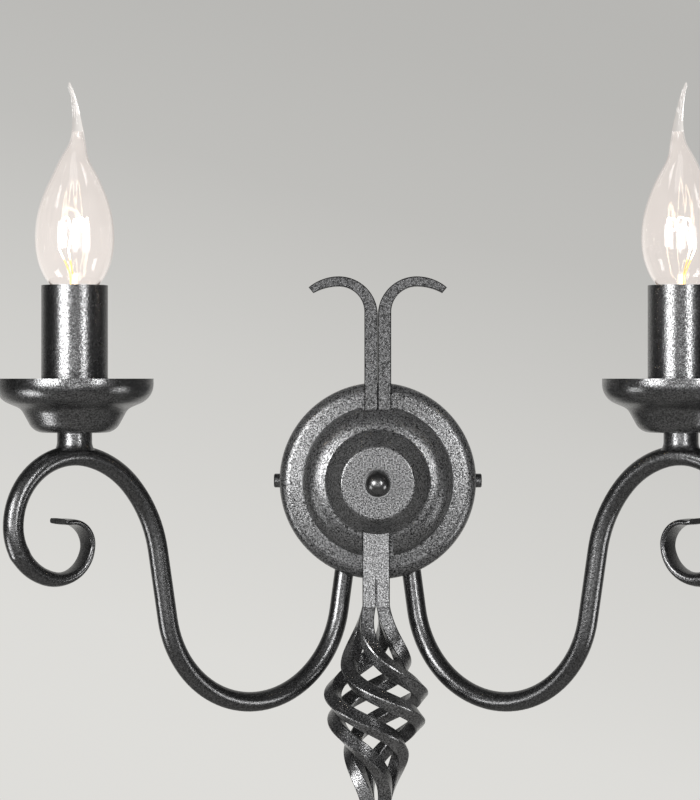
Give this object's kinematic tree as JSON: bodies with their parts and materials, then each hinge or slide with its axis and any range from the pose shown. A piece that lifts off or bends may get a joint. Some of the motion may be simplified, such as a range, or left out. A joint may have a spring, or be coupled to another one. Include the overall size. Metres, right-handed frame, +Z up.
{
  "type": "candle wall light",
  "caption": "Wrought-iron style candle wall light: curled tube arms with drip pans and flame-tip bulbs, stepped round canopy, leaf bars above and a twisted square-bar basket below.",
  "frame": {"origin": "centre of the canopy in the plane of the wall, at the middle of the bracket's cable hole", "axes": "+Z up, -Y out of the wall into the room, +X to the viewer's right; the wall is the XZ plane"},
  "size_m": [0.3538, 0.1396, 0.3594],
  "materials": {
    "black_paint": "satin black with fine silver speckle",
    "zinc_steel": "zinc plated",
    "brass": "plain",
    "holder_plastic": "matte cream",
    "insulator": "black glaze",
    "bulb_glass": "lightly frosted, lit",
    "stem_glass": "clear",
    "filament": "glowing wire",
    "live_wire": "brown insulation",
    "neutral_wire": "blue insulation",
    "earth_wire": "green insulation"
  },
  "bodies": {
    "root": {"canopy_cup": "black_paint", "canopy_dome": "black_paint", "leaf_bar_right": "black_paint", "leaf_bar_left": "black_paint", "basket_strand_1": "black_paint", "basket_strand_2": "black_paint", "basket_strand_3": "black_paint", "basket_strand_4": "black_paint", "top_weld": "black_paint", "bottom_weld": "black_paint", "arm_left": "black_paint", "arm_right": "black_paint", "neck_boss_left": "black_paint", "neck_boss_right": "black_paint", "drip_pan_left": "black_paint", "drip_pan_right": "black_paint", "side_screws": "black_paint", "centre_stud": "zinc_steel", "stud_nuts": "zinc_steel", "wall_bracket": "zinc_steel", "nipple_left": "zinc_steel", "nipple_right": "zinc_steel", "pan_nuts": "zinc_steel", "terminal_screws": "zinc_steel", "block_screw": "zinc_steel", "earth_screw": "zinc_steel", "earth_ring": "zinc_steel", "holder_shell_left": "brass", "holder_shell_right": "brass", "holder_contact_left": "brass", "holder_contact_right": "brass", "terminal_tubes": "brass", "lampholder_left": "holder_plastic", "lampholder_right": "holder_plastic", "terminal_block": "holder_plastic", "live_lead_left": "live_wire", "live_lead_right": "live_wire", "neutral_lead_left": "neutral_wire", "neutral_lead_right": "neutral_wire", "earth_lead": "earth_wire"},
    "sleeve_left": {"candle_sleeve_left": "black_paint"},
    "foot_contact_left": {"bulb_foot_left": "brass"},
    "bulb_left": {"bulb_insulator_left": "insulator", "bulb_cap_left": "brass", "bulb_glass_left": "bulb_glass", "bulb_stem_left": "stem_glass", "bulb_filament_left": "filament"},
    "sleeve_right": {"candle_sleeve_right": "black_paint"},
    "foot_contact_right": {"bulb_foot_right": "brass"},
    "bulb_right": {"bulb_insulator_right": "insulator", "bulb_cap_right": "brass", "bulb_glass_right": "bulb_glass", "bulb_stem_right": "stem_glass", "bulb_filament_right": "filament"},
    "seat_washer": {"ball_washer": "black_paint"},
    "ball_knob": {"ball_nut": "black_paint"}
  },
  "joints": [
    {"name": "sleeve_lift_left", "type": "slide", "parent": "root", "child": "sleeve_left", "axis": [0, 0, 1], "range_m": [0, 0.004]},
    {"name": "bulb_rise_left", "type": "slide", "parent": "root", "child": "foot_contact_left", "axis": [0, 0, 1], "range_m": [0, 0.0127]},
    {"name": "bulb_turn_left", "type": "hinge", "parent": "foot_contact_left", "child": "bulb_left", "pos_m": [-0.14045, -0.10307, 0.063], "axis": [0, 0, 1], "range_deg": [0, 1620]},
    {"name": "sleeve_lift_right", "type": "slide", "parent": "root", "child": "sleeve_right", "axis": [0, 0, 1], "range_m": [0, 0.004]},
    {"name": "bulb_rise_right", "type": "slide", "parent": "root", "child": "foot_contact_right", "axis": [0, 0, 1], "range_m": [0, 0.0127]},
    {"name": "bulb_turn_right", "type": "hinge", "parent": "foot_contact_right", "child": "bulb_right", "pos_m": [0.14045, -0.10307, 0.063], "axis": [0, 0, 1], "range_deg": [0, 1620]},
    {"name": "washer_draw", "type": "slide", "parent": "root", "child": "seat_washer", "axis": [0, -1, 0], "range_m": [0, 0.006]},
    {"name": "ball_turn", "type": "hinge", "parent": "seat_washer", "child": "ball_knob", "pos_m": [0, -0.051, 0], "axis": [0, -1, 0], "range_deg": [0, 2160]}
  ],
  "couplings": [
    {"joint": "bulb_rise_left", "follows": "bulb_turn_left", "m_per_rad": 0.00044882},
    {"joint": "bulb_rise_right", "follows": "bulb_turn_right", "m_per_rad": 0.00044882},
    {"joint": "washer_draw", "follows": "ball_turn", "m_per_rad": 0.00015915}
  ]
}
